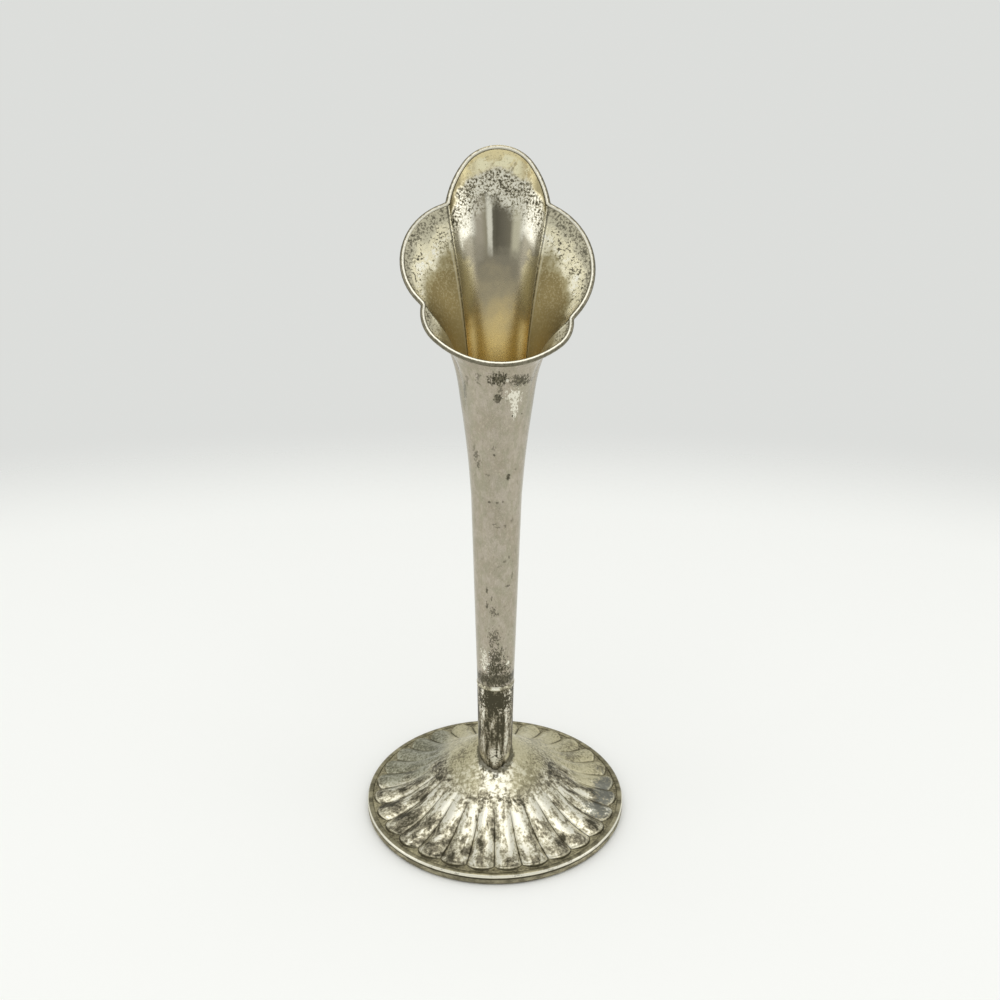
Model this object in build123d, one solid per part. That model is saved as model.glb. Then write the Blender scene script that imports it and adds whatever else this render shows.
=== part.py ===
"""Trumpet vase: a leaning trumpet with a four-lobed mouth on a round fluted foot. Millimetres, +Z up.

The origin is the middle of the foot on the table. The mouth faces -Y.
"""
import os
from math import acos, atan2, cos, hypot, pi, radians, sin, tan

from build123d import *

# Foot: a stamped dome with convex flutes, closed at the edge by a ring of wire
foot_radius = 42.0
foot_height = 24.2
foot_sheet = 0.8
crown_radius = 12.0
flank_angle = 37.0
border_height = 3.3
border_width = 2.4
flute_count = 28
flute_inner_radius = 17.0
flute_height = 1.2
flute_sink = 0.25
flute_gap = 0.2
scallop_depth = 2.3

# Ring of wire under the edge of the foot
rim_height = 3.5
rim_width = 1.7
rim_bead_radius = 0.75
rim_groove_depth = 0.3

# Stem: ferrule, ring and tapered tube, on an axis that leans back over the foot
stem_lean = 2.3
stem_forward = 5.8
stem_bottom_height = 12.0
ferrule_length = 34.8
ferrule_bottom_radius = 5.2
ferrule_top_radius = 5.75
ferrule_wall = 0.7
ring_height = 1.4
ring_proud = 0.35
tube_length = 61.0
tube_top_radius = 7.5
tube_wall = 0.7
tube_spigot_length = 14.0
tube_joggle = 1.0
plug_length = 5.0
plug_wall = 1.0

# Bell: the flared sheet with the slanting mouth
bell_wall = 0.8
bell_bottom_radius = 7.4
bell_spigot_length = 8.0
bell_lip_height = 41.0
bell_back_height = 97.4
bell_lip_reach = 13.6
bell_back_reach = 19.0
mouth_half_width = 26.7
mouth_wire_radius = 0.75
mouth_wire_bend = 0.95
front_lobe_turn = 95.0
back_lobe_turn = 82.0

# Fits and cuts
solder_gap = 0.05
overrun = 2.0

# Each row is one section of the bell, from the tube to the mouth, as shares of the whole bell:
# front height, back height, front reach, back reach, half width, depth of the lobes
bell_section_shares = (
    (0.0, 0.0, 0.0, 0.0, 0.0, 0.0),
    (0.30, 0.129, 0.156, 0.086, 0.052, 0.05),
    (0.594, 0.297, 0.384, 0.267, 0.143, 0.18),
    (0.791, 0.502, 0.573, 0.500, 0.260, 0.38),
    (0.923, 0.749, 0.758, 0.707, 0.534, 0.68),
    (1.0, 1.0, 1.0, 1.0, 1.0, 1.0),
)
# Places of the notches and side lobes between lip and back, and their half widths at the mouth.
# The mouth was formed by hand: its left front notch sits higher than the right one.
front_notch_share = 0.235
front_notch_twist_share = 0.03
side_lobe_share = 0.45
back_notch_share = 0.7256
front_notch_width_share = 0.77
lip_turn_share = 0.6
back_notch_width_share = 0.54
back_turn_share = 0.5
notch_wall_share = 1.3
front_wall_share = 1.2
back_wall_share = 1.75
# Stations along one flute, as shares of its length, and the height of the flute there
flute_station_shares = (0.0, 0.3, 0.6, 0.85, 1.0)
flute_rise_shares = (0.02, 0.5, 0.85, 1.0, 0.6)

# Axis of the trumpet: local Z runs up the stem from the bottom of the ferrule
stem_place = Location((0, -stem_forward, stem_bottom_height), (-stem_lean, 0, 0))
tube_base = ferrule_length + ring_height
bell_base = tube_base + tube_length

border_radius = foot_radius - border_width
crown_centre = foot_height - crown_radius
flank = radians(flank_angle)


def blend(first, last, share):
    return first + (last - first) * share


def skirt_arc():
    """Radius and centre of the hollow arc that joins the straight flank to the flat border."""
    start_radius = crown_radius * sin(flank)
    start_height = crown_centre + crown_radius * cos(flank)
    meeting_radius = start_radius + (start_height - border_height) / tan(flank)
    radius = (border_radius - meeting_radius) / tan(flank / 2)
    return radius, border_radius, border_height + radius


def dome_profile(depth):
    """Half section of the dome at a depth below its outer face, as three curves from crown to border."""
    skirt_radius, skirt_x, skirt_z = skirt_arc()
    crown = crown_radius - depth
    skirt = skirt_radius + depth
    crown_points = [(crown * sin(turn), crown_centre + crown * cos(turn)) for turn in (0, flank / 2, flank)]
    skirt_points = [(skirt_x - skirt * sin(turn), skirt_z - skirt * cos(turn)) for turn in (flank, flank / 2, 0)]
    return (
        ThreePointArc(*crown_points)
        + Line(crown_points[-1], skirt_points[0])
        + ThreePointArc(*skirt_points)
    )


def dome_height(radius):
    """Height of the dome's outer face at a distance from its axis."""
    skirt_radius, skirt_x, skirt_z = skirt_arc()
    if radius >= skirt_x - skirt_radius * sin(flank):
        return skirt_z - (skirt_radius ** 2 - (skirt_x - radius) ** 2) ** 0.5
    if radius <= crown_radius * sin(flank):
        return crown_centre + (crown_radius ** 2 - radius ** 2) ** 0.5
    return crown_centre + (crown_radius - radius * sin(flank)) / cos(flank)


def dome_fill(depth, edge_radius):
    """Everything under the dome at a depth below its outer face, down to the table."""
    curve = dome_profile(depth)
    top = curve @ 0
    edge = curve @ 1
    edge_corner = (edge_radius, edge.Y)
    outline = curve + Polyline((edge.X, edge.Y), edge_corner, (edge_radius, 0), (0, 0), (top.X, top.Y))
    return revolve(Plane.XZ * make_face(outline), Axis.Z)


def flute_section(station_share, rise_share):
    """Upright section of one flute, square to the radius it runs along."""
    reach = flute_inner_radius + station_share * (border_radius - flute_inner_radius)
    half_width = reach * tan(pi / flute_count) - flute_gap / 2
    base = dome_height(reach)
    ends = base - flute_sink
    crest = ThreePointArc(
        (reach, -half_width, ends),
        (reach, 0, base + rise_share * flute_height),
        (reach, half_width, ends),
    )
    chord = Line((reach, half_width, ends), (reach, -half_width, ends))
    return Face(Wire([crest, chord]))


def flutes(depth):
    """All the convex flutes, with scalloped outer ends, at a depth below the outer face of the sheet."""
    stations = zip(flute_station_shares, flute_rise_shares)
    body = loft([flute_section(station, rise) for station, rise in stations])
    tip = border_radius - depth
    shoulder = tip - scallop_depth
    half_width = border_radius * tan(pi / flute_count)
    inner = flute_inner_radius - overrun
    plan = Polyline((shoulder, -half_width), (inner, -half_width), (inner, half_width), (shoulder, half_width))
    plan += ThreePointArc((shoulder, half_width), (tip, 0), (shoulder, -half_width))
    one_flute = Pos(0, 0, -depth) * (body & extrude(make_face(plan), foot_height))
    return [place * one_flute for place in PolarLocations(0, flute_count, -90 + 180 / flute_count)]


def foot_dome():
    sheet_edge = foot_radius - rim_width - solder_gap
    outside = dome_fill(0, sheet_edge) + flutes(0)
    inside = dome_fill(foot_sheet, sheet_edge + overrun) + flutes(foot_sheet)
    return outside - inside - stem_place * ferrule_body(solder_gap)


def foot_rim_wire():
    """Ring with two beads and a groove between them, flat below."""
    inner = foot_radius - rim_width
    bead_x = foot_radius - rim_bead_radius
    groove_z = rim_height - 2 * rim_bead_radius
    groove_x = foot_radius - rim_groove_depth
    lower_mid = groove_z / 2
    outline = Polyline((bead_x, 0), (inner, 0), (inner, rim_height), (bead_x, rim_height))
    outline += ThreePointArc(
        (bead_x, rim_height), (foot_radius, rim_height - rim_bead_radius), (groove_x, groove_z)
    )
    outline += ThreePointArc((groove_x, groove_z), (foot_radius, lower_mid), (bead_x, 0))
    return revolve(Plane.XZ * make_face(outline), Axis.Z)


def turned(*points):
    """Solid of revolution about the stem axis from the corners of its half section."""
    return revolve(Plane.XZ * make_face(Polyline(*points, close=True)), Axis.Z)


def ferrule_body(growth):
    """Outer form of the ferrule, filled, grown all round for the hole that it passes through."""
    return turned(
        (0, 0),
        (ferrule_bottom_radius + growth, 0),
        (ferrule_top_radius + growth, ferrule_length),
        (0, ferrule_length),
    )


def stem_ferrule():
    bore_bottom = ferrule_bottom_radius - ferrule_wall
    bore_top = ferrule_top_radius - ferrule_wall
    bore = turned((0, 0), (bore_bottom, 0), (bore_top, ferrule_length), (0, ferrule_length))
    return stem_place * (ferrule_body(0) - bore)


def ferrule_bore_radius(height):
    """Inner radius of the ferrule at a height above its bottom."""
    taper = (ferrule_top_radius - ferrule_bottom_radius) / ferrule_length
    return ferrule_bottom_radius - ferrule_wall + taper * height


def stem_plug():
    """Cup that closes the bottom of the ferrule."""
    low = ferrule_bore_radius(0) - solder_gap
    high = ferrule_bore_radius(plug_length) - solder_gap
    return stem_place * turned(
        (0, 0),
        (low, 0),
        (high, plug_length),
        (high - plug_wall, plug_length),
        (high - plug_wall, plug_wall),
        (0, plug_wall),
    )


def stem_ring():
    inner = ferrule_bore_radius(ferrule_length)
    outer = ferrule_top_radius
    top = ferrule_length + ring_height
    middle = ferrule_length + ring_height / 2
    outline = Polyline((outer, ferrule_length), (inner, ferrule_length), (inner, top), (outer, top))
    outline += ThreePointArc((outer, top), (outer + ring_proud, middle), (outer, ferrule_length))
    return stem_place * revolve(Plane.XZ * make_face(outline), Axis.Z)


def tube_radius(height):
    """Outer radius of the tube at a height above the bottom of the ferrule."""
    return blend(ferrule_top_radius, tube_top_radius, (height - tube_base) / tube_length)


def stem_tube():
    """Tapered tube with a drawn-in lower end that slides into the ferrule."""
    tip = ferrule_length - tube_spigot_length
    tip_radius = ferrule_bore_radius(tip) - solder_gap
    neck_radius = ferrule_bore_radius(ferrule_length) - solder_gap
    return stem_place * turned(
        (tip_radius - tube_wall, tip),
        (tip_radius, tip),
        (neck_radius, tube_base),
        (ferrule_top_radius, tube_base),
        (tube_top_radius, bell_base),
        (tube_top_radius - tube_wall, bell_base),
        (tube_radius(tube_base + 2 * tube_joggle) - tube_wall, tube_base + 2 * tube_joggle),
        (neck_radius - tube_wall, tube_base + tube_joggle),
    )


def round_width(place_share):
    """Half width of a round section, as a share of its widest, at a place between front and back."""
    return 2 * (place_share * (1 - place_share)) ** 0.5


def end_lobe(half_width, depth, turns):
    """Points of an elliptical lobe from its tip to a notch, each at a given turn from the tip."""
    across = half_width / sin(turns[-1])
    along = depth / (1 - cos(turns[-1]))
    return [(across * sin(turn), along * (1 - cos(turn))) for turn in turns]


def bell_points(shares, depth):
    """Points of one bell section at a depth inside its outer face, in order round the mouth."""
    front_up, back_up, front_out, back_out, side_out, lobing = shares
    lip_z = bell_base + front_up * bell_lip_height
    back_z = bell_base + back_up * bell_back_height
    lip_y = -blend(bell_bottom_radius, bell_lip_reach, front_out)
    back_y = blend(bell_bottom_radius, bell_back_reach, back_out)
    width = blend(bell_bottom_radius, mouth_half_width, side_out)
    span = hypot(back_y - lip_y, back_z - lip_z)
    slope = atan2(back_z - lip_z, back_y - lip_y)

    front_notch = width * blend(round_width(front_notch_share), front_notch_width_share, lobing)
    back_notch = width * blend(round_width(back_notch_share), back_notch_width_share, lobing)
    side = width * blend(round_width(side_lobe_share), 1.0, lobing)
    side_wall = depth
    front_wall = depth * blend(1.0, front_wall_share, lobing)
    back_wall = depth * blend(1.0, back_wall_share, lobing)
    notch_wall = depth * blend(1.0, notch_wall_share, lobing)
    shoulder_wall = (notch_wall + back_wall) / 2

    twist = front_notch_twist_share * lobing
    lip_turn = blend(acos(1 - 2 * front_notch_share), radians(front_lobe_turn), lobing)
    lip_turns = [0, lip_turn * lip_turn_share, lip_turn]
    right_lip = end_lobe(front_notch, (front_notch_share - twist) * span, lip_turns)
    left_lip = end_lobe(front_notch, (front_notch_share + twist) * span, lip_turns)
    left_lip = [(-across, along) for across, along in left_lip]
    back_turn = blend(acos(2 * back_notch_share - 1), radians(back_lobe_turn), lobing)
    back_turns = [0, back_turn * back_turn_share, back_turn]
    arch = end_lobe(back_notch, (1 - back_notch_share) * span, back_turns)
    shoulder, shoulder_drop = arch[1]
    flat = [
        (*left_lip[1], front_wall),
        (*right_lip[0], front_wall),
        (*right_lip[1], front_wall),
        (*right_lip[2], notch_wall),
        (side, side_lobe_share * span, side_wall),
        (back_notch, back_notch_share * span, notch_wall),
        (shoulder, span - shoulder_drop, shoulder_wall),
        (0, span, back_wall),
        (-shoulder, span - shoulder_drop, shoulder_wall),
        (-back_notch, back_notch_share * span, notch_wall),
        (-side, side_lobe_share * span, side_wall),
        (*left_lip[2], notch_wall),
    ]
    points = []
    for across, along, wall in flat:
        middle = span / 2
        away = hypot(across, along - middle)
        across -= across / away * wall
        along -= (along - middle) / away * wall
        points.append(Vector(across, lip_y + along * cos(slope), lip_z + along * sin(slope)))
    return points


def bell_arcs(shares, depth):
    """The arcs of one bell section: the lip with its corners, a side lobe, the arched back, a side lobe."""
    points = bell_points(shares, depth)
    lip, right_side, arch, left_side = [ThreePointArc(*points[start:start + 3]) for start in (0, 3, 6, 9)]
    right_corner = TangentArc(points[2], points[3], tangent=lip % 1)
    right_back = TangentArc(points[6], points[5], tangent=(arch % 0) * -1)
    left_back = TangentArc(points[8], points[9], tangent=arch % 1)
    left_corner = TangentArc(points[0], points[11], tangent=(lip % 0) * -1)
    return [lip, right_corner, right_side, right_back, arch, left_back, left_side, left_corner]


def bell_fill(depth):
    return loft([Face(Wire(bell_arcs(shares, depth))) for shares in bell_section_shares])


def mouth_wire():
    """Round wire along the middle of the sheet's edge, bent round at the four notches."""
    mouth = bell_section_shares[-1]
    edge = Face(Wire(bell_arcs(mouth, bell_wall / 2)))
    points = bell_points(mouth, bell_wall / 2)
    notch_points = [points[place] for place in (3, 5, 9, 11)]
    notches = [edge.vertices().sort_by_distance(point)[0] for point in notch_points]
    path = edge.fillet_2d(mouth_wire_bend, notches).outer_wire()
    start = Plane(origin=path @ 0, z_dir=path % 0)
    return sweep(start * Circle(mouth_wire_radius), path=path)


def trumpet_bell():
    """Lofted sheet with a spigot that slides into the tube, trimmed to the wire at the mouth."""
    sheet = bell_fill(0) - bell_fill(bell_wall)
    low = bell_base - bell_spigot_length
    tip_radius = tube_radius(low) - tube_wall - solder_gap
    spigot_radius = tube_top_radius - tube_wall - solder_gap
    collar = turned(
        (tip_radius - bell_wall, low),
        (tip_radius, low),
        (spigot_radius, bell_base),
        (bell_bottom_radius - bell_wall / 2, bell_base),
        (bell_bottom_radius - bell_wall / 2, bell_base + bell_wall),
        (spigot_radius - bell_wall, bell_base + bell_wall),
    )
    return stem_place * (sheet + collar - mouth_wire())


def mouth_rim_wire():
    return stem_place * mouth_wire()


os.makedirs("parts", exist_ok=True)
for make in (
    foot_dome,
    foot_rim_wire,
    stem_ferrule,
    stem_plug,
    stem_ring,
    stem_tube,
    trumpet_bell,
    mouth_rim_wire,
):
    export_step(make(), f"parts/{make.__name__}.step")
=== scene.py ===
"""Trumpet vase of worn silver plate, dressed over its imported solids. Metres, in the solids' own frame."""
from math import acos, atan2, cos, degrees, exp, hypot, pi, radians, sin, sqrt, tan

import bmesh
import bpy
from mathutils import Matrix, Vector


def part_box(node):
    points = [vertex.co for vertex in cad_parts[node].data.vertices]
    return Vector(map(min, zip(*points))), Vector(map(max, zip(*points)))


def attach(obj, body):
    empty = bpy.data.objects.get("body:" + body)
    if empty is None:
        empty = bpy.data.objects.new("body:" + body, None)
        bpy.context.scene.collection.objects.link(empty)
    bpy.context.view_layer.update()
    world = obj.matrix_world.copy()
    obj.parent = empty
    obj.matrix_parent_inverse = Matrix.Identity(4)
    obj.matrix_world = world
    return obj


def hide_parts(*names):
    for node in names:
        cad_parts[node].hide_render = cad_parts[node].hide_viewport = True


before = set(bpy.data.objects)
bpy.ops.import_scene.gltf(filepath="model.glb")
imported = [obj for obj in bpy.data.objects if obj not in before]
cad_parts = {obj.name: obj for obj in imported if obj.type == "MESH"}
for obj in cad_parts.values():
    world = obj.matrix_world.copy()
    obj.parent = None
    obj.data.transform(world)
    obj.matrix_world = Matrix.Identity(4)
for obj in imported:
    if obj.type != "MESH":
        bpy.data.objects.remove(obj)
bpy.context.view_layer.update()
mm = 0.001

# Foot: dome, flutes and the ring of wire it stands on
foot_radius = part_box("foot_rim_wire")[1].x
rim_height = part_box("foot_rim_wire")[1].z
foot_height = 24.2 * mm
foot_sheet = 0.8 * mm
crown_radius = 12 * mm
flank = radians(37)
border_height = 3.3 * mm
border_radius = foot_radius - 2.4 * mm
flute_count = 28
flute_start = 17 * mm
flute_height = 1.2 * mm
flute_sink = 0.3 * mm
# Where along a flute it is highest, how it swells up to there, how much it falls after, how full it is
flute_peak = 0.85
flute_swell = 1.3
flute_fall = 0.35
flute_fullness = 2.4
scallop_depth = 2.3 * mm
scallop_foot = 0.25 * mm
outline_bead = 0.16 * mm
outline_inset = 0.38 * mm
outline_width = 0.17 * mm
rim_width = 1.7 * mm
rim_bead = 0.75 * mm
rim_groove = 0.3 * mm
groove_height = rim_height - 2 * rim_bead
hole_overlap = 0.4 * mm

# Stem, along an axis that leans back over the foot
stem_foot = Vector((0, -5.8 * mm, 12 * mm))
stem_lean = radians(2.3)
stem_place = Matrix.Translation(stem_foot) @ Matrix.Rotation(-stem_lean, 4, "X")
ferrule_length = 34.8 * mm
ferrule_bottom = 5.2 * mm
ferrule_top = 5.75 * mm
ring_height = 1.4 * mm
ring_proud = 0.16 * mm
tip_start = 13 * mm
tip_end = 5.5 * mm
tip_round = 8.5 * mm
tip_rows = 18
stem_wall = 0.7 * mm
tube_base = ferrule_length + ring_height
tube_length = 61 * mm
tube_top = 7.5 * mm
tube_spigot = 14 * mm
bell_base = tube_base + tube_length
edge_round = 0.15 * mm

# Bell and its four-lobed mouth
bell_wall = 0.8 * mm
bell_bottom = 7.5 * mm
bell_spigot = 8 * mm
spigot_step = 0.3 * mm
spigot_taper = 0.25 * mm
seam_gap = 0.05 * mm
lip_height = 41 * mm
back_height = 97.4 * mm
lip_reach = 13.6 * mm
back_reach = 19 * mm
mouth_half_width = 26.7 * mm
mouth_wire = 0.75 * mm
mitre_limit = 0.6
# Sections from the tube to the mouth, as shares of the whole bell:
# front height, back height, front reach, back reach, half width, depth of the lobes
bell_sections = (
    (0.0, 0.0, 0.0, 0.0, 0.0, 0.0),
    (0.30, 0.129, 0.156, 0.086, 0.052, 0.05),
    (0.594, 0.297, 0.384, 0.267, 0.143, 0.18),
    (0.791, 0.502, 0.573, 0.500, 0.260, 0.38),
    (0.923, 0.749, 0.758, 0.707, 0.534, 0.68),
    (1.0, 1.0, 1.0, 1.0, 1.0, 1.0),
)
front_notch = 0.235
front_notch_twist = 0.03
side_lobe = 0.45
back_notch = 0.7256
front_notch_width = 0.77
back_notch_width = 0.54
lip_turn = radians(95)
lip_joint = 0.6
arch_turn = radians(82)
arch_joint = 0.5
front_wall = 1.2
notch_wall = 1.3
back_wall = 1.75

# Rows and columns of the formed sheets, and steps round the turned pieces
crown_rows = 24
flute_rows = 34
scallop_rows = 4
border_rows = 4
foot_rows = crown_rows + flute_rows + scallop_rows + border_rows
flute_columns = 18
bell_rows = 72
spigot_rows = 4
arc_columns = 22
mouth_columns = 8 * arc_columns
wire_rows = 16
rim_steps = 256
stem_steps = 128

# Distance at which corners become one, and angles from which edges stay sharp
weld = 1e-7
sheet_crease = radians(50)
stem_crease = radians(40)


def blend(first, last, share):
    return first + (last - first) * share


def ease(value, low, high):
    """0 below low, 1 above high, and a smooth step between."""
    share = min(max((value - low) / (high - low), 0), 1)
    return share * share * (3 - 2 * share)


def arc(centre, radius, first, last, count):
    """Points of a circular arc in a half section, from one angle to another."""
    turns = [radians(blend(first, last, step / count)) for step in range(count + 1)]
    return [(centre[0] + radius * cos(turn), centre[1] + radius * sin(turn)) for turn in turns]


# Mesh making

def spin_round(shape, corners, edges, steps):
    bmesh.ops.spin(
        shape, geom=corners + edges, steps=steps, use_merge=True,
        cent=(0, 0, 0), axis=(0, 0, 1), angle=2 * pi,
    )
    bmesh.ops.remove_doubles(shape, verts=shape.verts, dist=weld)
    bmesh.ops.recalc_face_normals(shape, faces=shape.faces)


def turned(outline, steps):
    """A closed half section of (radius, height) points, turned about Z."""
    shape = bmesh.new()
    corners = [shape.verts.new((radius, 0, height)) for radius, height in outline]
    edges = [shape.edges.new(pair) for pair in zip(corners, corners[1:] + corners[:1])]
    spin_round(shape, corners, edges, steps)
    return shape


def formed(rows, columns, form, name, chart):
    """A spun drum that is charted and then formed. Both take the column and the row of a corner."""
    shape = bmesh.new()
    corners = [shape.verts.new((1, 0, row)) for row in range(rows + 1)]
    edges = [shape.edges.new(pair) for pair in zip(corners, corners[1:])]
    spin_round(shape, corners, edges, columns)
    places = {}
    for corner in shape.verts:
        column = round(atan2(corner.co.y, corner.co.x) / (2 * pi) * columns) % columns
        places[corner] = column, round(corner.co.z)
    layer = shape.loops.layers.uv.new(name)
    for face in shape.faces:
        at_seam = columns - 1 in [places[loop.vert][0] for loop in face.loops]
        for loop in face.loops:
            column, row = places[loop.vert]
            loop[layer].uv = chart(columns if at_seam and column == 0 else column, row)
    for corner, (column, row) in places.items():
        corner.co = form(column, row)
    bmesh.ops.remove_doubles(shape, verts=shape.verts, dist=weld)
    return shape


def face_outward(shape, face, outward):
    """Makes the faces of a sheet agree, with the given one looking outward."""
    bmesh.ops.recalc_face_normals(shape, faces=shape.faces)
    if face.normal.dot(outward) < 0:
        bmesh.ops.reverse_faces(shape, faces=shape.faces)


def meshed(name, shape):
    mesh = bpy.data.meshes.new(name)
    shape.to_mesh(mesh)
    shape.free()
    return mesh


def placed(name, data):
    """Puts an object into the scene."""
    made = bpy.data.objects.new(name, data)
    bpy.context.scene.collection.objects.link(made)
    return made


def piece(name, shape, node, finishes, sharp=None):
    """Makes the object of a shape that stands for a node, in its finishes."""
    mesh = meshed(name, shape)
    mesh.polygons.foreach_set("use_smooth", [True] * len(mesh.polygons))
    if sharp:
        mesh.set_sharp_from_angle(angle=sharp)
    made = placed(name, mesh)
    for finish in finishes:
        mesh.materials.append(finish)
    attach(made, "root")
    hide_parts(node)
    return made


def thicken(made, wall):
    """Gives a sheet its wall on the inside, in its second finish."""
    sheet = made.modifiers.new("wall", "SOLIDIFY")
    sheet.thickness = wall
    sheet.offset = -1
    sheet.material_offset = 1


# Foot

def dome_height(radius):
    """Height of the plain dome at a distance from its axis: round crown, straight flank, hollow skirt."""
    crown_centre = foot_height - crown_radius
    flank_radius = crown_radius * sin(flank)
    flank_height = crown_centre + crown_radius * cos(flank)
    meeting_radius = flank_radius + (flank_height - border_height) / tan(flank)
    skirt_radius = (border_radius - meeting_radius) / tan(flank / 2)
    if radius >= border_radius:
        return border_height
    if radius >= border_radius - skirt_radius * sin(flank):
        return border_height + skirt_radius - sqrt(skirt_radius ** 2 - (border_radius - radius) ** 2)
    if radius <= flank_radius:
        return crown_centre + sqrt(crown_radius ** 2 - radius ** 2)
    return crown_centre + (crown_radius - radius * sin(flank)) / cos(flank)


def scallop_radius(across):
    """Where a flute ends, from its tip at its crest to the cusps at its edges."""
    half_width = border_radius * tan(pi / flute_count)
    round_radius = (half_width ** 2 + scallop_depth ** 2) / (2 * scallop_depth)
    return border_radius - round_radius + sqrt(round_radius ** 2 - (half_width * across) ** 2)


def flute_relief(along, across, radius):
    """Height of a flute over the dome, with the fine raised line that runs round its edge."""
    rise = flute_height * sin(pi / 2 * min(along / flute_peak, 1)) ** flute_swell
    rise *= 1 - flute_fall * ease(along, flute_peak, 1)
    sink = flute_sink * ease(along, 0.0, 0.3)
    crest = (rise + sink) * (1 - abs(across) ** flute_fullness) - sink
    side_gap = (1 - abs(across)) * radius * tan(pi / flute_count)
    end_gap = (1 - along) * (border_radius - flute_start)
    from_line = (min(side_gap, end_gap) - outline_inset) / outline_width
    return crest + outline_bead * exp(-from_line ** 2) * ease(along, 0.2, 0.6)


def flute_across(column):
    """Which flute a column lies on, and where across it, from -1 to 1. Columns crowd at its edges."""
    index, step = divmod(column, flute_columns)
    return index, sin((2 * step / flute_columns - 1) * pi / 2)


def foot_way(row):
    """The zone of the foot that a row lies in, and how far through it the row is."""
    for zone, rows in (("crown", crown_rows), ("flute", flute_rows), ("scallop", scallop_rows)):
        if row <= rows:
            return zone, row / rows
        row -= rows
    return "border", row / border_rows


def foot_point(column, row):
    """A point of the foot's outer face: rows run from crown to border and follow the scallops."""
    index, across = flute_across(column)
    turn = (index + (1 + across) / 2) / flute_count * 2 * pi + pi / 2
    zone, share = foot_way(row)
    end = scallop_radius(across)
    if zone == "crown":
        radius = flute_start * share
        height = dome_height(radius)
    elif zone == "flute":
        along = sin(share * pi / 2)
        radius = blend(flute_start, end, along)
        height = dome_height(radius) + flute_relief(along, across, radius)
    elif zone == "scallop":
        radius = end + scallop_foot * share
        tip_height = dome_height(end) + flute_relief(1, across, end)
        height = blend(tip_height, dome_height(radius), ease(share, 0, 1))
    else:
        radius = blend(end + scallop_foot, foot_radius - rim_width, share)
        height = dome_height(radius)
    return Vector((radius * cos(turn), radius * sin(turn), height))


def foot_chart(column, row):
    """Flutes counted round the foot, and the way out: -1 crown, 0 to 1 flute, 1.1 scallop, 2 edge."""
    index, across = flute_across(column)
    zone, share = foot_way(row)
    ways = {
        "crown": share - 1,
        "flute": sin(share * pi / 2),
        "scallop": 1 + 0.1 * share,
        "border": 1.1 + 0.9 * share,
    }
    return index + (1 + across) / 2, ways[zone]


def tip_width(height):
    """How narrow the ferrule is at a height: it rounds in towards the tip that rests on the crown."""
    if not tip_end <= height <= tip_start:
        return 1
    return sqrt(1 - ((tip_start - height) / tip_round) ** 2)


def ferrule_radius(height):
    return blend(ferrule_bottom, ferrule_top, height / ferrule_length)


def ferrule_gap(point):
    """How far a point lies outside the ferrule."""
    local = stem_place.inverted() @ point
    return hypot(local.x / tip_width(local.z), local.y) - ferrule_radius(local.z)


def foot_dome(outer_finish, inner_finish):
    shape = formed(foot_rows, flute_count * flute_columns, foot_point, "flutes", foot_chart)
    hidden = [face for face in shape.faces if ferrule_gap(face.calc_center_median()) < -hole_overlap]
    bmesh.ops.delete(shape, geom=hidden, context="FACES")
    shape.faces.ensure_lookup_table()
    face_outward(shape, shape.faces[0], Vector((0, 0, 1)))
    made = piece("fluted_foot", shape, "foot_dome", [outer_finish, inner_finish])
    thicken(made, foot_sheet)


def foot_rim(finish):
    inner = foot_radius - rim_width
    bead_centre = (foot_radius - rim_bead, rim_height - rim_bead)
    lower = groove_height / 2
    outline = [(inner, 0), (inner, rim_height - edge_round), (inner + edge_round, rim_height)]
    outline += arc(bead_centre, rim_bead, 90, -62, 12)
    outline += [(foot_radius - rim_groove, groove_height)]
    outline += arc((foot_radius - lower, lower), lower, 62, -70, 10)
    outline += [(foot_radius - lower, 0)]
    shape = turned(outline, rim_steps)
    piece("foot_ring", shape, "foot_rim_wire", [finish], sheet_crease)


# Stem

def on_stem(outline, name, node, finish, width=None):
    """A piece turned round the stem's axis, which may narrow across by a rule of its height."""
    shape = turned(outline, stem_steps)
    if width:
        for corner in shape.verts:
            corner.co.x *= width(corner.co.z)
    bmesh.ops.transform(shape, matrix=stem_place, verts=shape.verts)
    piece(name, shape, node, [finish], stem_crease)


def stem_ferrule(finish):
    tip_heights = [blend(tip_end, tip_start, row / tip_rows) for row in range(tip_rows + 1)]
    heights = [0, tip_end - edge_round, *tip_heights, ferrule_length]
    outer = [(ferrule_radius(height), height) for height in heights]
    inner = [(radius - stem_wall, height) for radius, height in reversed(outer)]
    on_stem(outer + inner, "ferrule", "stem_ferrule", finish, tip_width)


def stem_ring(finish):
    inner = ferrule_top - stem_wall
    half = ring_height / 2
    bulge = (half ** 2 + ring_proud ** 2) / (2 * ring_proud)
    reach = 90 - degrees(atan2(bulge - ring_proud, half))
    outline = arc((ferrule_top + ring_proud - bulge, ferrule_length + half), bulge, -reach, reach, 12)
    outline += [(inner, ferrule_length + ring_height), (inner, ferrule_length)]
    on_stem(outline, "seam_ring", "stem_ring", finish)


def stem_tube(finish):
    neck = ferrule_top - stem_wall
    outline = [
        (neck - stem_wall, ferrule_length - tube_spigot),
        (neck, ferrule_length - tube_spigot),
        (neck, tube_base),
        (ferrule_top - edge_round, tube_base),
        (ferrule_top, tube_base + edge_round),
        (tube_top, bell_base),
        (tube_top - stem_wall, bell_base),
        (ferrule_top - stem_wall, tube_base + stem_wall),
        (neck - stem_wall, tube_base),
    ]
    on_stem(outline, "tapered_stem", "stem_tube", finish)


# Bell

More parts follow.
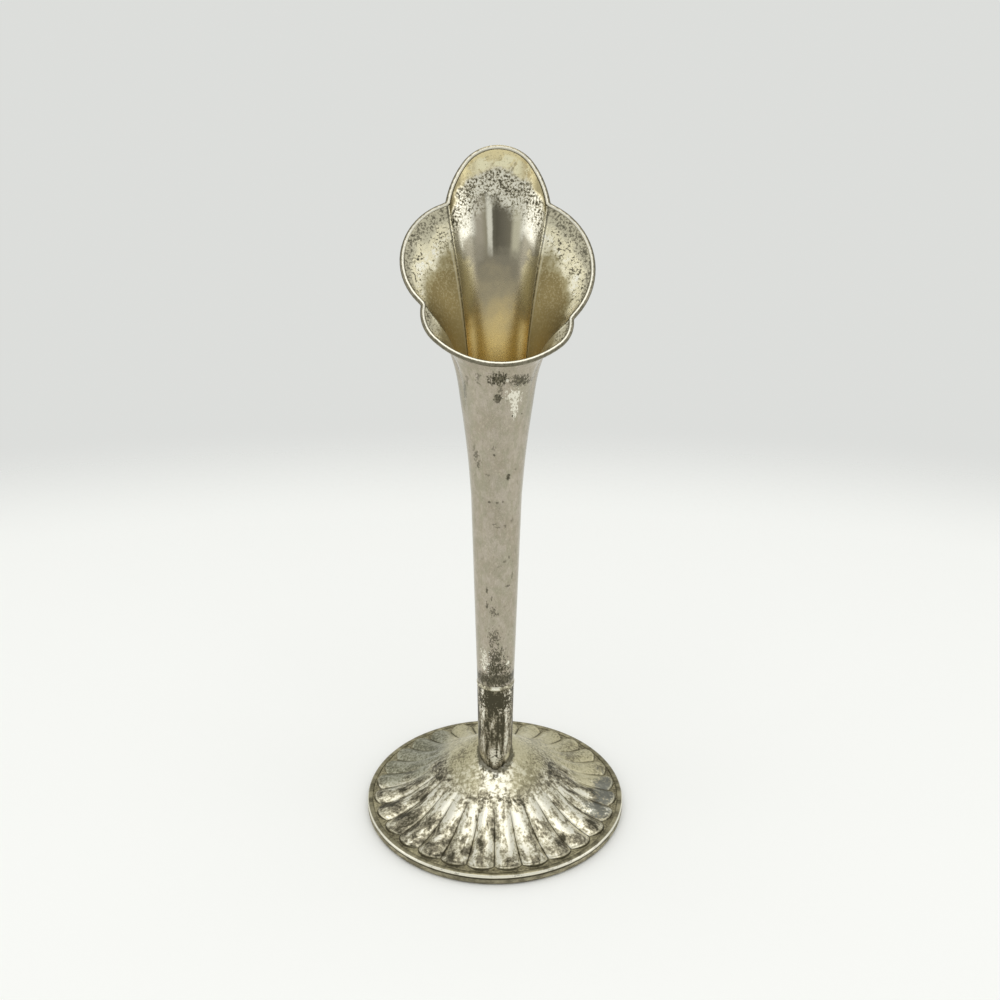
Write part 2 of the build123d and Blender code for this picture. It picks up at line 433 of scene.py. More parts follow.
def section_shares(place):
    """The bell's shares between its sections, on a smooth curve through them. Place runs from 0 to 1."""
    last = len(bell_sections) - 1
    first = min(int(place * last), last - 1)
    step = place * last - first
    rows = [bell_sections[min(max(first + offset, 0), last)] for offset in (-1, 0, 1, 2)]
    shares = []
    for before, start, end, after in zip(*rows):
        slope_in = (end - before) / 2 if first else end - start
        slope_out = (after - start) / 2 if first < last - 1 else end - start
        bend = 3 * (end - start) - 2 * slope_in - slope_out
        twist = slope_in + slope_out - 2 * (end - start)
        shares.append(start + slope_in * step + bend * step ** 2 + twist * step ** 3)
    return shares


def round_width(place):
    """Half width of a round section, as a share of its widest, at a place between front and back."""
    return 2 * sqrt(place * (1 - place))


def end_lobe(half_width, depth, turn, joint):
    """The joint and the notch beside the tip of an elliptical lobe, across and along from the tip."""
    across = half_width / sin(turn)
    along = depth / (1 - cos(turn))
    return [Vector((across * sin(stop), along * (1 - cos(stop)))) for stop in (turn * joint, turn)]


def bell_points(shares, depth):
    """Twelve points of a bell section in its slanting plane, with the plane's lowest point and its rise."""
    front_up, back_up, front_out, back_out, side_out, lobing = shares
    lip = Vector((0, -blend(bell_bottom, lip_reach, front_out), bell_base + front_up * lip_height))
    back = Vector((0, blend(bell_bottom, back_reach, back_out), bell_base + back_up * back_height))
    width = blend(bell_bottom, mouth_half_width, side_out)
    span = (back - lip).length
    twist = front_notch_twist * lobing
    lip_width = width * blend(round_width(front_notch), front_notch_width, lobing)
    back_width = width * blend(round_width(back_notch), back_notch_width, lobing)
    side = Vector((width * blend(round_width(side_lobe), 1, lobing), side_lobe * span))
    lip_bend = blend(acos(1 - 2 * front_notch), lip_turn, lobing)
    arch_bend = blend(acos(2 * back_notch - 1), arch_turn, lobing)
    right_joint, right_notch = end_lobe(lip_width, (front_notch - twist) * span, lip_bend, lip_joint)
    left_joint, left_notch = end_lobe(lip_width, (front_notch + twist) * span, lip_bend, lip_joint)
    shoulder, high_notch = end_lobe(back_width, (1 - back_notch) * span, arch_bend, arch_joint)
    mirror = Vector((-1, 1))
    top = Vector((0, span))
    shoulder_wall = (notch_wall + back_wall) / 2
    walled = [
        (left_joint * mirror, front_wall),
        (Vector((0, 0)), front_wall),
        (right_joint, front_wall),
        (right_notch, notch_wall),
        (side, 1),
        (top - high_notch * mirror, notch_wall),
        (top - shoulder * mirror, shoulder_wall),
        (top, back_wall),
        (top - shoulder, shoulder_wall),
        (top - high_notch, notch_wall),
        (side * mirror, 1),
        (left_notch * mirror, notch_wall),
    ]
    points = []
    for point, wall in walled:
        outward = (point - top / 2).normalized()
        points.append(point - outward * depth * blend(1, wall, lobing))
    return points, lip, (back - lip).normalized()


def arc_centre(first, middle, last):
    """Centre of the circle through three points of a plane."""
    a = middle - first
    b = last - first
    a_square = a.length_squared
    b_square = b.length_squared
    offset = Vector((b.y * a_square - a.y * b_square, a.x * b_square - b.x * a_square))
    return first + offset / (2 * (a.x * b.y - a.y * b.x))


def tangent_centre(start, end, old_centre):
    """Centre of the arc that leaves a circle at its point start without a kink and runs to end."""
    inward = (old_centre - start).normalized()
    chord = end - start
    return start + inward * chord.length_squared / (2 * chord.dot(inward))


def on_arc(centre, first, last, share):
    """Point of the arc that runs the short way round a centre from one point to another."""
    from_turn = atan2(first.y - centre.y, first.x - centre.x)
    turn = (atan2(last.y - centre.y, last.x - centre.x) - from_turn + pi) % (2 * pi) - pi
    radius = (first - centre).length
    return centre + Vector((cos(from_turn + turn * share), sin(from_turn + turn * share))) * radius


def bell_section(place, depth=0):
    """Points round the bell at a place from tube to mouth, the same number on each of its eight arcs."""
    points, lip, rise = bell_points(section_shares(place), depth)
    triples = [points[first:first + 3] for first in (0, 3, 6, 9)]
    lip_centre, right_centre, arch, left_centre = [arc_centre(*triple) for triple in triples]
    arcs = (
        (lip_centre, points[0], points[2]),
        (tangent_centre(points[2], points[3], lip_centre), points[2], points[3]),
        (right_centre, points[3], points[5]),
        (tangent_centre(points[6], points[5], arch), points[5], points[6]),
        (arch, points[6], points[8]),
        (tangent_centre(points[8], points[9], arch), points[8], points[9]),
        (left_centre, points[9], points[11]),
        (tangent_centre(points[0], points[11], lip_centre), points[11], points[0]),
    )
    flat = [on_arc(*one, step / arc_columns) for one in arcs for step in range(arc_columns)]
    return [lip + Vector((point.x, 0, 0)) + rise * point.y for point in flat]


def trumpet_bell(outer_finish, inner_finish):
    sections = [bell_section(row / bell_rows) for row in range(bell_rows + 1)]

    def form(column, row):
        if row >= spigot_rows:
            return sections[row - spigot_rows][column]
        drop = 1 - row / spigot_rows
        radius = tube_top - stem_wall - seam_gap - spigot_taper * drop
        ring = sections[0][column] * (radius / bell_bottom)
        height = bell_base - spigot_step - bell_spigot * (drop - 1 / spigot_rows)
        return Vector((ring.x, ring.y, height))

    def chart(column, row):
        return column / arc_columns, (row - spigot_rows) / bell_rows

    shape = formed(bell_rows + spigot_rows, mouth_columns, form, "lobes", chart)
    lowest = min(shape.faces, key=lambda face: face.calc_center_median().z)
    face_outward(shape, lowest, lowest.calc_center_median() * Vector((1, 1, 0)))
    bmesh.ops.transform(shape, matrix=stem_place, verts=shape.verts)
    finishes = [outer_finish, inner_finish]
    made = piece("trumpet", shape, "trumpet_bell", finishes, sheet_crease)
    thicken(made, bell_wall)


def mouth_wire_ring(finish):
    """Round wire along the mouth's edge, eased at the notches."""
    sharp = bell_section(1, bell_wall / 2)
    path = list(sharp)
    for notch in (2, 3, 6, 7):
        column = notch * arc_columns
        path[column] = (sharp[column - 1] + 2 * sharp[column] + sharp[column + 1]) / 4
    rise = (sharp[int(4.5 * arc_columns)] - sharp[arc_columns // 2]).normalized()
    facing = Vector((1, 0, 0)).cross(rise)

    def form(column, row):
        ahead = (path[(column + 1) % mouth_columns] - path[column]).normalized()
        behind = (path[column] - path[column - 1]).normalized()
        outward = (ahead + behind).normalized().cross(facing)
        mitre = 1 / max(sqrt((1 + ahead.dot(behind)) / 2), mitre_limit)
        turn = row / wire_rows * 2 * pi
        return path[column] + mouth_wire * (outward * cos(turn) * mitre + facing * sin(turn))

    def chart(column, row):
        return column / arc_columns, row / wire_rows

    shape = formed(wire_rows, mouth_columns, form, "wire", chart)
    bmesh.ops.transform(shape, matrix=stem_place, verts=shape.verts)
    bmesh.ops.recalc_face_normals(shape, faces=shape.faces)
    piece("mouth_wire", shape, "mouth_rim_wire", [finish])


# Colours of the metal
white_silver = (0.85, 0.82, 0.7, 1)
cream_silver = (0.62, 0.58, 0.43, 1)
beige_silver = (0.435, 0.39, 0.305, 1)
gilt_silver = (0.95, 0.87, 0.6, 1)
glint_silver = (1.0, 0.97, 0.84, 1)
rosy_silver = (0.5, 0.445, 0.375, 1)
greenish_silver = (0.37, 0.352, 0.265, 1)
dull_silver = (0.345, 0.325, 0.24, 1)
grey_taupe = (0.34, 0.308, 0.22, 1)
dark_taupe = (0.2, 0.18, 0.13, 1)
wire_shade = (0.13, 0.12, 0.085, 1)
brown_tarnish_and_shade = (0.075, 0.068, 0.045, 1)
blue_tarnish = (0.2, 0.205, 0.18, 1)
tan_wash = (0.46, 0.415, 0.26, 1)
warm_tan = (0.56, 0.51, 0.31, 1)
olive_wash = (0.26, 0.235, 0.15, 1)
dark_olive = (0.17, 0.145, 0.08, 1)
pale_gold = (0.93, 0.88, 0.62, 1)
corner_gold = (0.92, 0.83, 0.58, 1)
shoulder_gold = (0.64, 0.57, 0.36, 1)
dull_gold = (0.58, 0.5, 0.3, 1)
rusty_gold = (0.44, 0.33, 0.14, 1)
# From tarnished to rubbed bright
worn_metal = (brown_tarnish_and_shade, dark_taupe, grey_taupe, cream_silver, white_silver)


class Finish:
    """A finish that is built up from nodes. Its methods add nodes and give their output."""

    def __init__(self, name, metallic=1.0):
        self.material = bpy.data.materials.new(name)
        self.material.use_nodes = True
        self.tree = self.material.node_tree
        self.shader = self.tree.nodes["Principled BSDF"]
        self.shader.inputs["Metallic"].default_value = metallic
        self.place = self.add("ShaderNodeTexCoord").outputs["Object"]
        self.x, self.y, self.z = self.split(self.place)
        self.colour = None

    def add(self, kind, **settings):
        node = self.tree.nodes.new(kind)
        for name, value in settings.items():
            setattr(node, name, value)
        return node

    def feed(self, socket, value):
        if isinstance(value, bpy.types.NodeSocket):
            self.tree.links.new(value, socket)
        else:
            socket.default_value = value

    def result(self, kind, output, inputs, **settings):
        """Adds a node, feeds its inputs and gives one of its outputs."""
        node = self.add(kind, **settings)
        for key, value in inputs.items():
            self.feed(node.inputs[key], value)
        return node.outputs[output]

    def split(self, vector):
        node = self.add("ShaderNodeSeparateXYZ")
        self.feed(node.inputs["Vector"], vector)
        return list(node.outputs)

    def chart(self, name):
        """The two coordinates of a chart of the mesh."""
        return self.split(self.add("ShaderNodeUVMap", uv_map=name).outputs["UV"])[:2]

    def scaled(self, scale, offset=(0, 0, 0)):
        """The place on the object, stretched and then moved."""
        inputs = {"Vector": self.place, "Scale": scale, "Location": offset}
        return self.result("ShaderNodeMapping", "Vector", inputs)

    def on_drum(self, radius, height):
        """The place carried out to a drum round the Z axis, with another value for its height."""
        flat = {0: self.scaled((1, 1, 0))}
        outward = self.result("ShaderNodeVectorMath", "Vector", flat, operation="NORMALIZE")
        x, y, _ = self.split(outward)
        inputs = {"X": self.times(x, radius), "Y": self.times(y, radius), "Z": height}
        return self.result("ShaderNodeCombineXYZ", "Vector", inputs)

    def noise(self, size, detail=4.0, rough=0.5, warp=0.0, scale=(1, 1, 1), at=None):
        inputs = {
            "Vector": self.scaled(scale) if at is None else at,
            "Scale": 1 / size, "Detail": detail, "Roughness": rough, "Distortion": warp,
        }
        return self.result("ShaderNodeTexNoise", "Fac", inputs)

    def uneven(self, *settings, **more):
        """Noise about zero."""
        return self.plus(self.noise(*settings, **more), -0.5)

    def math(self, operation, first, second=0.0):
        return self.result("ShaderNodeMath", "Value", {0: first, 1: second}, operation=operation)

    def folded(self, operation, values):
        result = values[0]
        for value in values[1:]:
            result = self.math(operation, result, value)
        return result

    def plus(self, *values):
        return self.folded("ADD", values)

    def times(self, *values):
        return self.folded("MULTIPLY", values)

    def most(self, *values):
        return self.folded("MAXIMUM", values)

    def weighted(self, *pairs):
        """Values times their weights, to be added up."""
        return [self.times(value, weight) for value, weight in pairs]

    def step(self, value, low, high, first=0.0, last=1.0):
        """A smooth step from first at low to last at high."""
        inputs = {"Value": value, "From Min": low, "From Max": high, "To Min": first, "To Max": last}
        return self.result("ShaderNodeMapRange", "Result", inputs, interpolation_type="SMOOTHSTEP")

    def band(self, value, low, high, soft):
        """1 between two values, 0 outside, with soft edges."""
        rise = self.step(value, low - soft, low + soft)
        fall = self.step(value, high + soft, high - soft)
        return self.times(rise, fall)

    def distance(self, scale, offset=(0, 0, 0)):
        """Length of the place on the object, stretched and then moved."""
        inputs = {0: self.scaled(scale, offset)}
        return self.result("ShaderNodeVectorMath", "Value", inputs, operation="LENGTH")

    def spot(self, centre, reach, ragged=0.0, soft=0.18):
        """1 inside a patch, 0 outside. A reach of None runs through the object along that axis."""
        scale = [0 if size is None else 1 / size for size in reach]
        offset = [-place * share for place, share in zip(centre, scale)]
        from_centre = self.plus(self.distance(scale, offset), ragged)
        return self.step(from_centre, 1 - soft, 1 + soft, 1.0, 0.0)

    def over(self, under, colour, *shares):
        """A colour laid over another one, by the product of its shares."""
        inputs = {"Factor": self.times(*shares), "A": under, "B": colour}
        return self.result("ShaderNodeMix", "Result", inputs, data_type="RGBA")

    def lay(self, colour, *shares):
        """Lays a colour over the finish as it stands."""
        self.colour = self.over(self.colour, colour, *shares)

    def tones(self, value, *stops):
        """A run of colours, each at its value."""
        node = self.add("ShaderNodeValToRGB")
        self.feed(node.inputs["Fac"], value)
        marks = node.color_ramp.elements
        while len(marks) < len(stops):
            marks.new(1.0)
        for mark, (place, colour) in zip(marks, stops):
            mark.position = place
            mark.color = colour
        return node.outputs["Color"]

    def done(self, rough, height, depth):
        """Sets the colour, the roughness and the fine relief, and gives the finished material."""
        relief = self.result("ShaderNodeBump", "Normal", {"Distance": depth, "Height": height})
        for name, value in (("Base Color", self.colour), ("Roughness", rough), ("Normal", relief)):
            self.feed(self.shader.inputs[name], value)
        return self.material


def foot_finish():
    """Worn bright and taupe in front with a painted highlight on the crown, dull at the left, smooth and
    tan behind; painted shade beside the stem, a painted dark reflection on the flute tips, painted
    highlights along the flute edges and ends, painted shade along the grooves and past the ends, and a
    painted contact shadow round the ferrule's tip.
    """
    plate = Finish("foot_plate")
    across, way = plate.chart("flutes")
    groove = plate.math("PINGPONG", across, 0.5)
    radius = plate.distance((1, 1, 0))
    side = plate.math("ABSOLUTE", plate.x)
    drawn_out = plate.on_drum(30 * mm, plate.times(way, 11 * mm))
    on_crown = plate.step(way, 0.45, -0.15)
    off_crown = plate.step(on_crown, 0, 1, 1.0, 0.0)
    patches = plate.plus(
        plate.times(plate.noise(2.4 * mm, 5, 0.6, 0.5, at=drawn_out), off_crown),
        plate.times(plate.noise(1.7 * mm, 6, 0.64, 0.5), on_crown),
    )
    specks = plate.uneven(0.8 * mm, 6, 0.66)
    cloud = plate.uneven(9 * mm, 3, 0.5)
    grain = plate.uneven(0.4 * mm, 2, 0.6)
    ragged = plate.times(plate.plus(specks, plate.times(cloud, 0.7)), 5)

    def patch(across, back, half_width, half_depth, soft=0.18):
        """Ragged patch of the foot as seen from above, in millimetres."""
        centre = (across * mm, back * mm, 0)
        return plate.spot(centre, (half_width * mm, half_depth * mm, None), ragged, soft)

    front = plate.times(plate.step(plate.y, -4 * mm, -14 * mm), plate.step(side, 30 * mm, 18 * mm))
    left = plate.step(plate.x, -12 * mm, -24 * mm)
    rear = plate.step(plate.plus(plate.y, plate.times(cloud, 40 * mm)), -4 * mm, 8 * mm)
    # Painted highlight on the front of the crown with a darker band just in front of it, painted shade on
    # both sides of the stem, and a painted dark reflection on the flute tips, all added to the tone level.
    front_highlight = patch(0.5, -15.2, 5.5, 1.7, 0.3)
    under_shine = patch(0.5, -18.2, 5.0, 1.1, 0.4)
    shade = plate.most(patch(16.5, -6, 4, 4, 0.5), patch(-15, -5, 4, 4, 0.5))
    tip = plate.band(way, 0.76, 0.96, 0.08)
    tone_level = plate.plus(patches, *plate.weighted(
        (specks, 0.55), (cloud, 0.35), (front, 0.04), (left, -0.03),
        (front_highlight, 0.09), (shade, -0.03), (under_shine, -0.08), (tip, -0.05),
    ))
    worn = plate.tones(tone_level, *zip((0.35, 0.42, 0.49, 0.555, 0.62), worn_metal))
    mild = plate.plus(0.5, *plate.weighted((cloud, 0.5), (specks, 0.8), (shade, -0.04)))
    tan_plate = plate.tones(
        mild, (0.38, (0.27, 0.24, 0.155, 1)), (0.48, (0.54, 0.495, 0.32, 1)), (0.62, (0.66, 0.61, 0.42, 1))
    )
    grey_plate = plate.tones(
        mild, (0.4, (0.15, 0.145, 0.1, 1)), (0.5, (0.28, 0.27, 0.19, 1)), (0.6, (0.46, 0.45, 0.35, 1))
    )
    dull = plate.over(tan_plate, grey_plate, plate.step(plate.x, -13 * mm, -20 * mm))
    crown = plate.times(plate.step(radius, 18 * mm, 14 * mm), plate.step(plate.y, -10 * mm, -5 * mm))
    warm = plate.times(plate.band(side, 5 * mm, 14 * mm, 2 * mm), plate.step(radius, 20 * mm, 15 * mm))
    worn = plate.over(worn, warm_tan, warm, 0.45)
    plate.colour = plate.over(worn, dull, plate.most(rear, crown))
    bruise = plate.most(patch(37, -1, 3.5, 6, 0.4), patch(33, -12, 4.5, 3, 0.4))
    plate.lay(blue_tarnish, bruise, 0.75)

    # Painted highlights along the flute edges and ends, and painted shade in the grooves and just past the
    # ends, stronger in front.
    lined = plate.step(plate.y, 10 * mm, -6 * mm, 0.35, 1.0)
    start = plate.step(plate.y, -10 * mm, 6 * mm, 0.08, 0.45)
    on_flute = plate.times(
        plate.step(plate.math("SUBTRACT", way, start), 0.0, 0.3), plate.step(way, 1.01, 0.99)
    )
    edge_highlight = plate.times(
        plate.band(groove, 0.05, 0.075, 0.014), on_flute, plate.step(patches, 0.42, 0.56), lined
    )
    groove_width = plate.step(plate.y, -8 * mm, 8 * mm, 0.042, 0.065)
    groove_shade = plate.times(plate.step(groove, groove_width, 0.012), on_flute)
    end_highlight = plate.times(plate.band(way, 0.974, 0.99, 0.006), plate.step(patches, 0.36, 0.5), lined)
    end_shade = plate.times(plate.band(way, 1.01, 1.16, 0.015), lined)
    border = plate.tones(
        mild, (0.4, (0.15, 0.13, 0.08, 1)), (0.5, (0.29, 0.26, 0.165, 1)), (0.62, tan_wash)
    )
    plate.lay(border, plate.step(way, 0.995, 1.0))
    plate.lay(cream_silver, plate.most(edge_highlight, end_highlight), 0.7)
    plate.lay(brown_tarnish_and_shade, plate.most(groove_shade, end_shade), 0.8)
    # Painted contact shadow: a dark ring round the ferrule where its tip rests on the crown, and a dark
    # spot under the tip.
    from_stem = plate.distance((1.15, 1, 0), (0, 5.45 * mm, 0))
    around = plate.plus(from_stem, plate.times(ragged, 0.6 * mm))
    contact_shadow = plate.most(plate.step(around, 7.5 * mm, 6.5 * mm), patch(0.1, -12.3, 1.7, 1.3))
    plate.lay(brown_tarnish_and_shade, contact_shadow, 0.85)

    rough = plate.step(tone_level, 0.4, 0.6, 0.46, 0.3)
    relief = plate.plus(patches, *plate.weighted((specks, 0.6), (grain, 0.4)))
    return plate.done(rough, relief, 0.1 * mm)


def rim_finish():
    """Olive beads with a thin painted highlight line on the upper one, strongest in front, and a dark
    groove between.
    """
    plate = Finish("rim_plate")
    mottle = plate.noise(1.2 * mm, 6, 0.62, at=plate.on_drum(14 * mm, plate.z))
    grain = plate.uneven(0.4 * mm, 3, 0.6)
    tone = plate.plus(mottle, plate.times(grain, 0.3))
    plate.colour = plate.tones(
        tone, (0.36, (0.13, 0.115, 0.07, 1)), (0.5, olive_wash), (0.64, (0.42, 0.38, 0.25, 1))
    )
    # Painted highlight: a thin bright line on the upper bead, fading towards the back.
    line = plate.times(
        plate.band(plate.z, rim_height - 0.88 * mm, rim_height - 0.15 * mm, 0.07 * mm),
        plate.step(plate.distance((1, 1, 0)), foot_radius - 0.5 * mm, foot_radius - 0.4 * mm),
        plate.step(plate.y, 16 * mm, -10 * mm, 0.1, 1.0),
        plate.step(tone, 0.34, 0.44, 0.5, 1.0),
    )
    groove = plate.band(plate.z, groove_height - 0.25 * mm, groove_height + 0.35 * mm, 0.12 * mm)
    lower = plate.step(plate.z, groove_height, groove_height - 0.3 * mm)
    plate.lay(plate.tones(tone, (0.42, dark_taupe), (0.6, grey_taupe)), lower, 0.5)
    plate.lay(white_silver, line)
    plate.lay(brown_tarnish_and_shade, groove, 0.9)
    return plate.done(plate.step(mottle, 0.4, 0.6, 0.42, 0.32), tone, 0.04 * mm)


# Dark marks on the front of the stem, in millimetres:
# across, height, half width, half height, looseness, strength
stem_marks = (
    (0.5, 146.6, 2.5, 1.6, 5, 1.0),
    (6.2, 145.9, 2.9, 1.4, 6, 0.85),
    (0.3, 140.9, 1.1, 1.2, 4, 0.9),
    (1.0, 143.4, 0.7, 0.9, 9, 0.6),
    (-5.2, 146.6, 0.5, 1.2, 8, 0.6),
    (-8.9, 142.3, 0.35, 2.6, 6, 0.5),
    (-8.2, 145.4, 0.3, 1.4, 6, 0.45),
    (4.6, 135.4, 0.4, 0.36, 2, 0.95),
    (7.0, 135.6, 0.25, 0.25, 3, 0.6),
    (-6.4, 125.2, 0.3, 1.0, 6, 0.5),
    (-5.8, 122.8, 0.55, 1.2, 9, 0.7),
    (-5.2, 120.6, 0.5, 1.0, 9, 0.65),
    (-1.0, 126.0, 0.5, 0.5, 9, 0.5),
    (-0.6, 123.8, 0.34, 0.38, 3, 0.75),
    (3.3, 116.9, 0.5, 0.85, 4, 0.9),
    (5.4, 118.8, 0.35, 0.3, 5, 0.45),
    (-2.4, 117.6, 0.6, 0.3, 7, 0.4),
    (-2.0, 109.3, 0.38, 0.28, 4, 0.65),
    (0.2, 109.2, 0.5, 0.28, 4, 0.6),
    (1.9, 109.4, 0.28, 0.3, 4, 0.55),
    (-0.1, 102.5, 0.8, 0.26, 6, 0.5),
    (0.3, 101.5, 0.8, 0.24, 6, 0.45),
    (2.6, 101.8, 0.4, 0.36, 4, 0.7),
    (4.7, 103.0, 0.34, 0.6, 6, 0.4),
    (3.8, 91.6, 0.22, 0.5, 4, 0.6),
    (2.5, 90.4, 0.45, 0.3, 6, 0.55),
    (0.8, 89.0, 0.6, 0.24, 7, 0.35),
    (4.8, 85.4, 0.2, 1.3, 5, 0.5),
    (3.5, 82.4, 0.55, 0.32, 4, 0.65),
    (-2.7, 81.0, 0.3, 1.0, 5, 0.75),
    (-1.3, 78.4, 0.3, 0.7, 5, 0.7),
    (-2.6, 76.0, 0.34, 1.0, 6, 0.7),
    (-1.0, 74.2, 0.7, 0.85, 10, 0.7),
    (0.8, 73.4, 0.28, 0.5, 5, 0.65),
    (-0.2, 65.6, 1.1, 1.7, 13, 0.75),
    (-1.2, 62.4, 0.45, 1.2, 10, 0.7),
    (0.2, 58.4, 2.1, 2.6, 8, 0.9),
    (0.0, 54.6, 3.2, 2.6, 6, 0.95),
    (0.0, 50.8, 7.5, 2.2, 3, 0.92),
)
# Bright marks there, in the same way
stem_flecks = (
    (4.7, 141.3, 1.7, 1.7, 7, 0.85),
    (4.9, 138.2, 0.8, 2.2, 6, 0.85),
    (2.9, 146.0, 0.4, 0.5, 4, 0.6),
    (-3.3, 57.2, 0.6, 1.7, 17, 0.85),
    (-3.7, 54.6, 0.4, 0.7, 10, 1.0),
    (3.7, 56.2, 0.35, 0.55, 6, 1.0),
)


def front_marks(plate, marks, unevenness):
    """How much of a mark lies at each place on the front of the stem."""
    marked = 0.0
    for across, height, half_width, half_height, loose, strength in marks:
        centre = (across * mm, 0, height * mm)
        reach = (half_width * mm, None, half_height * mm)
        spot = plate.spot(centre, reach, plate.times(unevenness, loose), 0.25)
        marked = plate.most(marked, plate.times(spot, strength))
    return plate.times(marked, plate.step(plate.y, -3.2 * mm, -4.0 * mm))


def stem_finish():
    """Warm plate with a fine grain and dark marks on its front, mottled with tarnish behind."""
    plate = Finish("stem_plate")
    cloud = plate.noise(9 * mm, 3, 0.5)
    tint = plate.noise(6 * mm, 3, 0.55, scale=(1, 1, 0.5))
    grain = plate.noise(0.45 * mm, 3, 0.6, scale=(1, 1, 0.6))
    specks = plate.noise(0.9 * mm, 3, 0.6, scale=(1, 1, 0.6))
    unevenness = plate.uneven(0.55 * mm, 5, 0.66, scale=(1, 1, 0.7))
    plate.colour = plate.tones(cloud, (0.35, (0.39, 0.343, 0.268, 1)), (0.65, (0.445, 0.4, 0.325, 1)))
    plate.lay(greenish_silver, plate.step(tint, 0.5, 0.66, 0.0, 0.5))
    plate.lay(cream_silver, plate.step(grain, 0.52, 0.7, 0.0, 0.4))
    plate.lay(grey_taupe, plate.step(grain, 0.46, 0.3, 0.0, 0.5))
    patches = plate.noise(2.0 * mm, 5, 0.62, 0.3, scale=(1, 1, 0.7))
    plate.lay(dull_silver, plate.step(patches, 0.5, 0.62, 0.0, 0.55))
    plate.lay(rosy_silver, plate.step(patches, 0.48, 0.38, 0.0, 0.45))
    lines = plate.noise(1.1 * mm, 5, 0.65, scale=(1, 1, 0.12))
    plate.lay(grey_taupe, plate.step(lines, 0.54, 0.64), 0.3)
    plate.lay(dark_taupe, plate.step(specks, 0.61, 0.69), 0.45)
    behind = plate.step(plate.y, -5 * mm, 1 * mm)
    tarnish = plate.noise(1.5 * mm, 6, 0.66, 0.3, scale=(1, 1, 0.6))
    tarnished = plate.times(plate.step(tarnish, 0.56, 0.62), plate.step(cloud, 0.48, 0.58, 0.1, 1.0))
    plate.lay(cream_silver, behind, plate.step(cloud, 0.52, 0.4), 0.35)
    plate.lay(dark_taupe, behind, tarnished, 0.65)
    dark = front_marks(plate, stem_marks, unevenness)
    bright = front_marks(plate, stem_flecks, unevenness)
    stain = plate.tones(
        grain, (0.38, (0.045, 0.042, 0.028, 1)), (0.5, brown_tarnish_and_shade), (0.62, (0.16, 0.145, 0.1, 1))
    )
    plate.lay(stain, dark)
    plate.lay(white_silver, bright)
    return plate.done(plate.step(grain, 0.3, 0.7, 0.25, 0.16), grain, 0.03 * mm)


def ferrule_finish():
    """Streaked dark plate with painted reflections down its flanks and on its tip, and a dark patch under
    the ring.
    """
    plate = Finish("ferrule_plate")
    streaks = plate.noise(1.3 * mm, 5, 0.6, 0.3, scale=(1, 1, 0.22))
    mottle = plate.uneven(0.7 * mm, 6, 0.66)
    ragged = plate.times(mottle, 6)
    # Painted reflections: bright bands down both flanks and a bright spot on the rounded tip.
    flanks = plate.band(plate.math("ABSOLUTE", plate.x), 3.0 * mm, 4.5 * mm, 0.5 * mm)
    rear = plate.step(plate.y, -6 * mm, -3 * mm)
    under_ring = plate.spot((0.2 * mm, 0, 42.9 * mm), (5.4 * mm, None, 3.6 * mm), ragged, 0.3)
    tip = plate.spot((0.2 * mm, 0, 23.4 * mm), (3.0 * mm, None, 3.8 * mm), ragged, 0.4)
    mottling = plate.times(mottle, plate.plus(0.6, plate.times(tip, 2.0)))
    tone_level = plate.plus(streaks, mottling, -0.08, *plate.weighted(
        (flanks, 0.12), (rear, 0.08), (under_ring, -0.18), (tip, 0.23)
    ))
    plate.colour = plate.tones(
        tone_level, (0.34, brown_tarnish_and_shade), (0.42, (0.12, 0.105, 0.07, 1)), (0.49, grey_taupe),
        (0.55, beige_silver), (0.64, white_silver),
    )
    calm = plate.tones(tone_level, (0.4, dark_taupe), (0.5, grey_taupe), (0.62, (0.5, 0.46, 0.36, 1)))
    plate.lay(calm, rear, 0.85)
    rough = plate.step(tone_level, 0.42, 0.58, 0.44, 0.3)
    return plate.done(rough, plate.plus(streaks, mottle), 0.06 * mm)


def ring_finish():
    """A painted highlight in front, darker beside that, grey at the sides."""
    plate = Finish("ring_plate")
    mottle = plate.noise(0.8 * mm, 6, 0.62)
    side = plate.math("ABSOLUTE", plate.x)
    front = plate.step(plate.y, -9 * mm, -10 * mm)
    # Painted highlight: a bright spot on the front of the ring, darker on both sides of it.
    ring_highlight = plate.times(front, plate.step(side, 0.9 * mm, 1.9 * mm, 0.22, -0.06))
    tone_level = plate.plus(mottle, ring_highlight, plate.step(side, 3.4 * mm, 4.6 * mm, 0, 0.02))
    plate.colour = plate.tones(tone_level, *zip((0.4, 0.5, 0.58, 0.66), worn_metal[1:]))
    return plate.done(plate.step(tone_level, 0.42, 0.6, 0.42, 0.24), mottle, 0.03 * mm)


